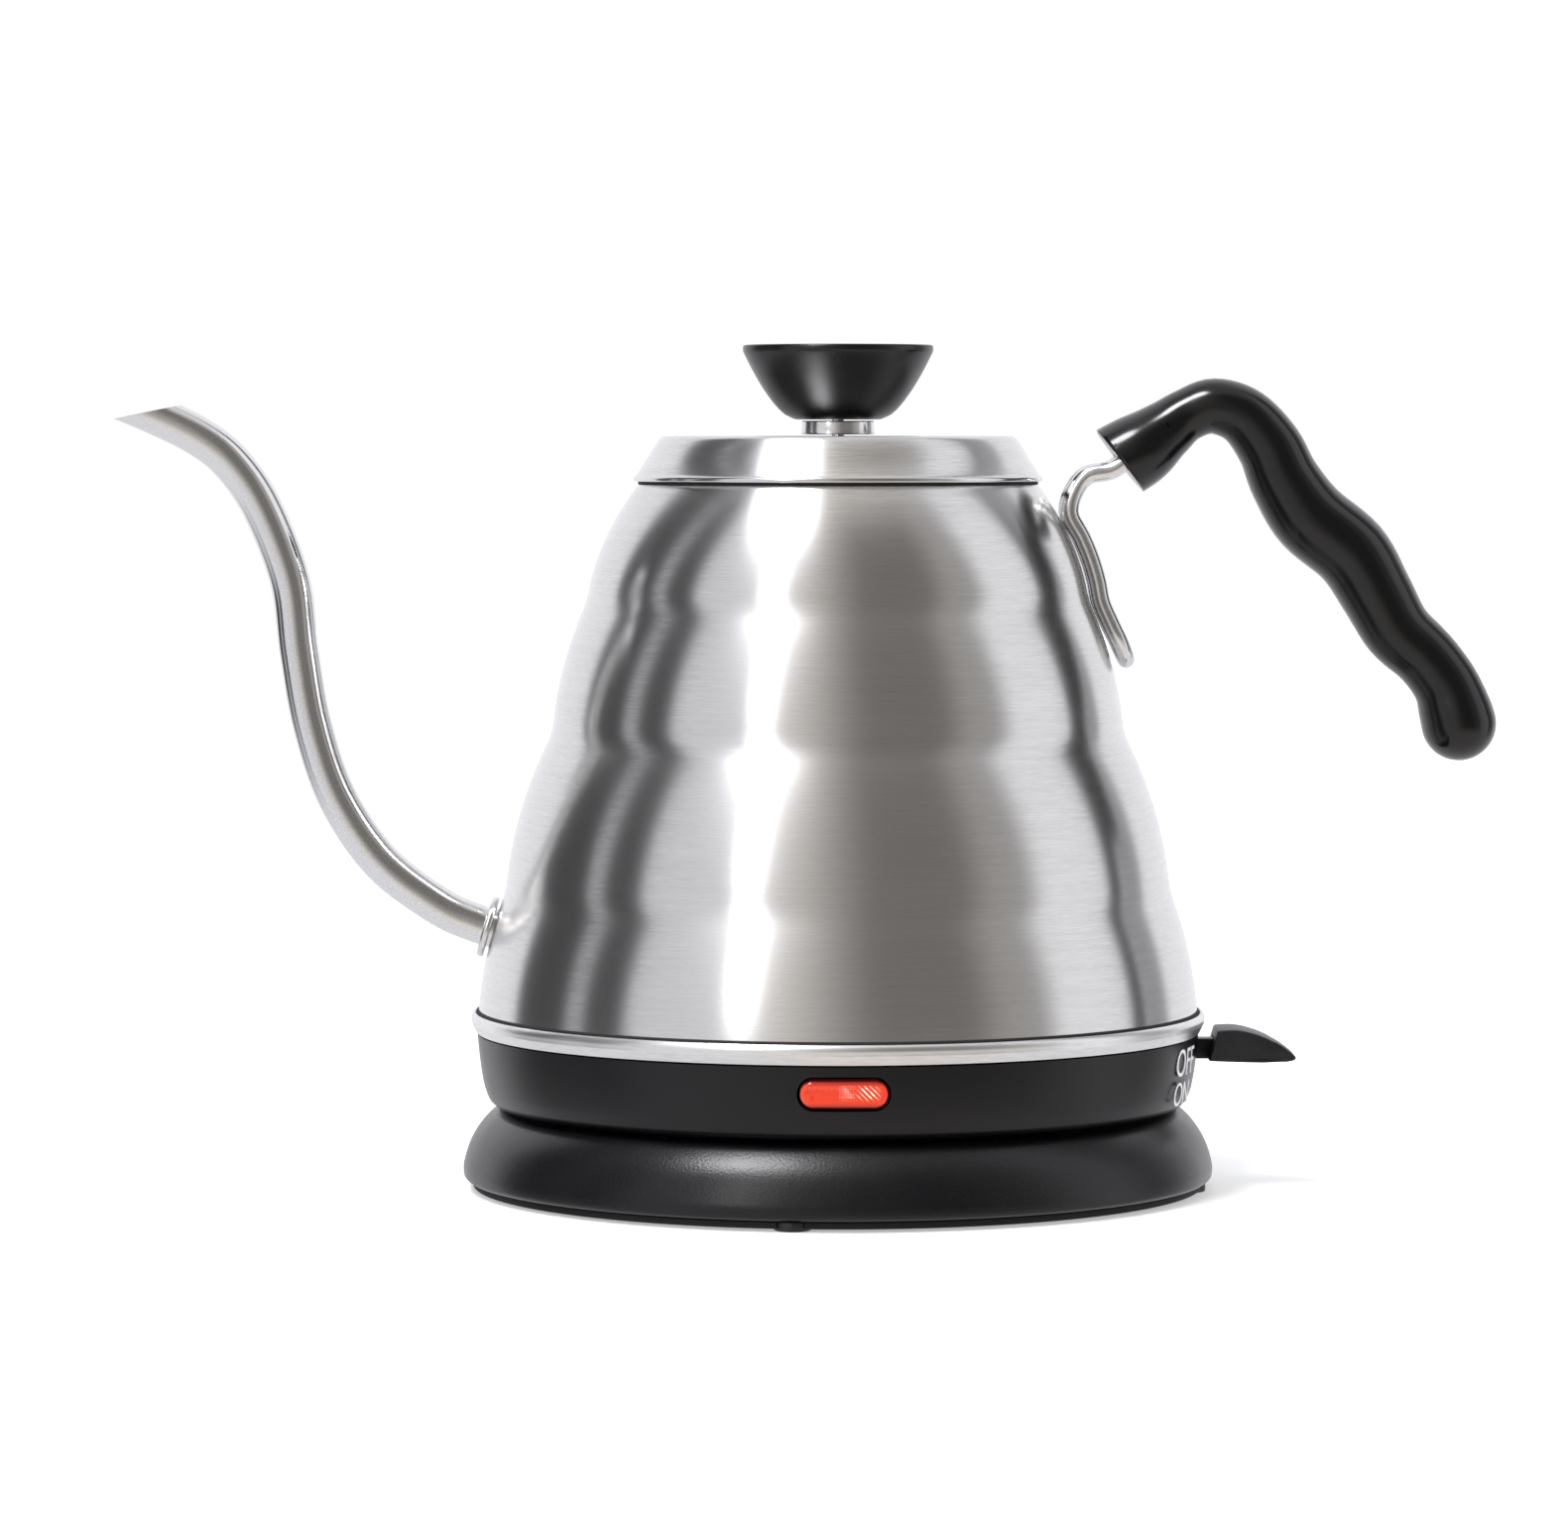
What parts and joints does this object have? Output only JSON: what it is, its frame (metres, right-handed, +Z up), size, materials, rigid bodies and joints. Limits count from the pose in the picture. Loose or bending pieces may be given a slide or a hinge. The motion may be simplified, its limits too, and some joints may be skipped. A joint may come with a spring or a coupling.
{
  "type": "electric kettle",
  "caption": "Gooseneck electric kettle with a beehive steel body, lift-off lid, wavy open grip, side switch lever and round cordless power base.",
  "frame": {"origin": "on the kettle's vertical axis, where the centre pad under the power base faces the table", "axes": "+Z up along the kettle's axis, +X from the spout towards the handle, +Y away from the side with the lamp"},
  "size_m": [0.3022, 0.1637, 0.1845],
  "materials": {
    "brushed_steel": "brushed round the body",
    "polished_steel": "polished",
    "aluminium": "rolled",
    "brass": "bright",
    "satin_black": "satin",
    "charcoal": "fine textured satin",
    "gloss_black": "gloss",
    "rubber_black": "matte",
    "lamp_red": "clear red, faceted",
    "ceramic_white": "matte"
  },
  "bodies": {
    "power_base": {"base_shell": "charcoal", "base_bottom_plate": "rubber_black", "foot_1": "rubber_black", "foot_2": "rubber_black", "foot_3": "rubber_black", "foot_4": "rubber_black", "base_screw_1": "polished_steel", "base_screw_2": "polished_steel", "base_screw_3": "polished_steel", "cord_gland": "rubber_black", "socket_housing": "satin_black", "socket_ring_contact": "brass", "socket_centre_contact": "brass", "socket_terminal_block": "ceramic_white"},
    "shutter_ring": {"socket_shutter": "satin_black"},
    "kettle": {"vessel": "brushed_steel", "heater_plate": "brushed_steel", "steam_tube": "polished_steel", "heat_diffuser": "aluminium", "cover_screw_1": "polished_steel", "cover_screw_2": "polished_steel", "cover_screw_3": "polished_steel", "heating_element": "polished_steel", "element_terminal_1": "brass", "element_terminal_2": "brass", "control_bimetal_1": "brass", "control_bimetal_2": "brass", "steam_bimetal": "brass", "trim_ring": "polished_steel", "collar": "satin_black", "underside_cover": "satin_black", "control_housing": "satin_black", "plug_centre_pin": "brass", "plug_ring_contact": "brass", "lamp_lens": "lamp_red", "lamp_bulb": "ceramic_white", "lamp_holder": "satin_black", "spout_tube": "polished_steel", "spout_flange": "polished_steel", "spout_strainer": "polished_steel", "handle_grip": "gloss_black", "handle_bracket": "polished_steel", "switch_pivot_pin": "polished_steel", "switch_fork": "satin_black", "switch_contact_block": "ceramic_white"},
    "switch": {"switch_lever": "satin_black", "switch_paddle": "charcoal"},
    "lid": {"lid_cap": "brushed_steel", "lid_insert": "brushed_steel", "knob_ferrule": "polished_steel", "knob": "satin_black", "knob_washer": "polished_steel", "knob_screw": "polished_steel"}
  },
  "joints": [
    {"name": "kettle_swivel", "type": "hinge", "parent": "power_base", "child": "shutter_ring", "pos_m": [0, 0, 0.0176], "axis": [0, 0, 1], "continuous": true},
    {"name": "kettle_lift", "type": "slide", "parent": "shutter_ring", "child": "kettle", "axis": [0, 0, 1], "range_m": [0, 0.08]},
    {"name": "lid_lift", "type": "slide", "parent": "kettle", "child": "lid", "axis": [0, 0, 1], "range_m": [0, 0.06]},
    {"name": "switch_rock", "type": "hinge", "parent": "kettle", "child": "switch", "pos_m": [0.054, 0, 0.0305], "axis": [0, 1, 0], "range_deg": [0, 17]}
  ]
}
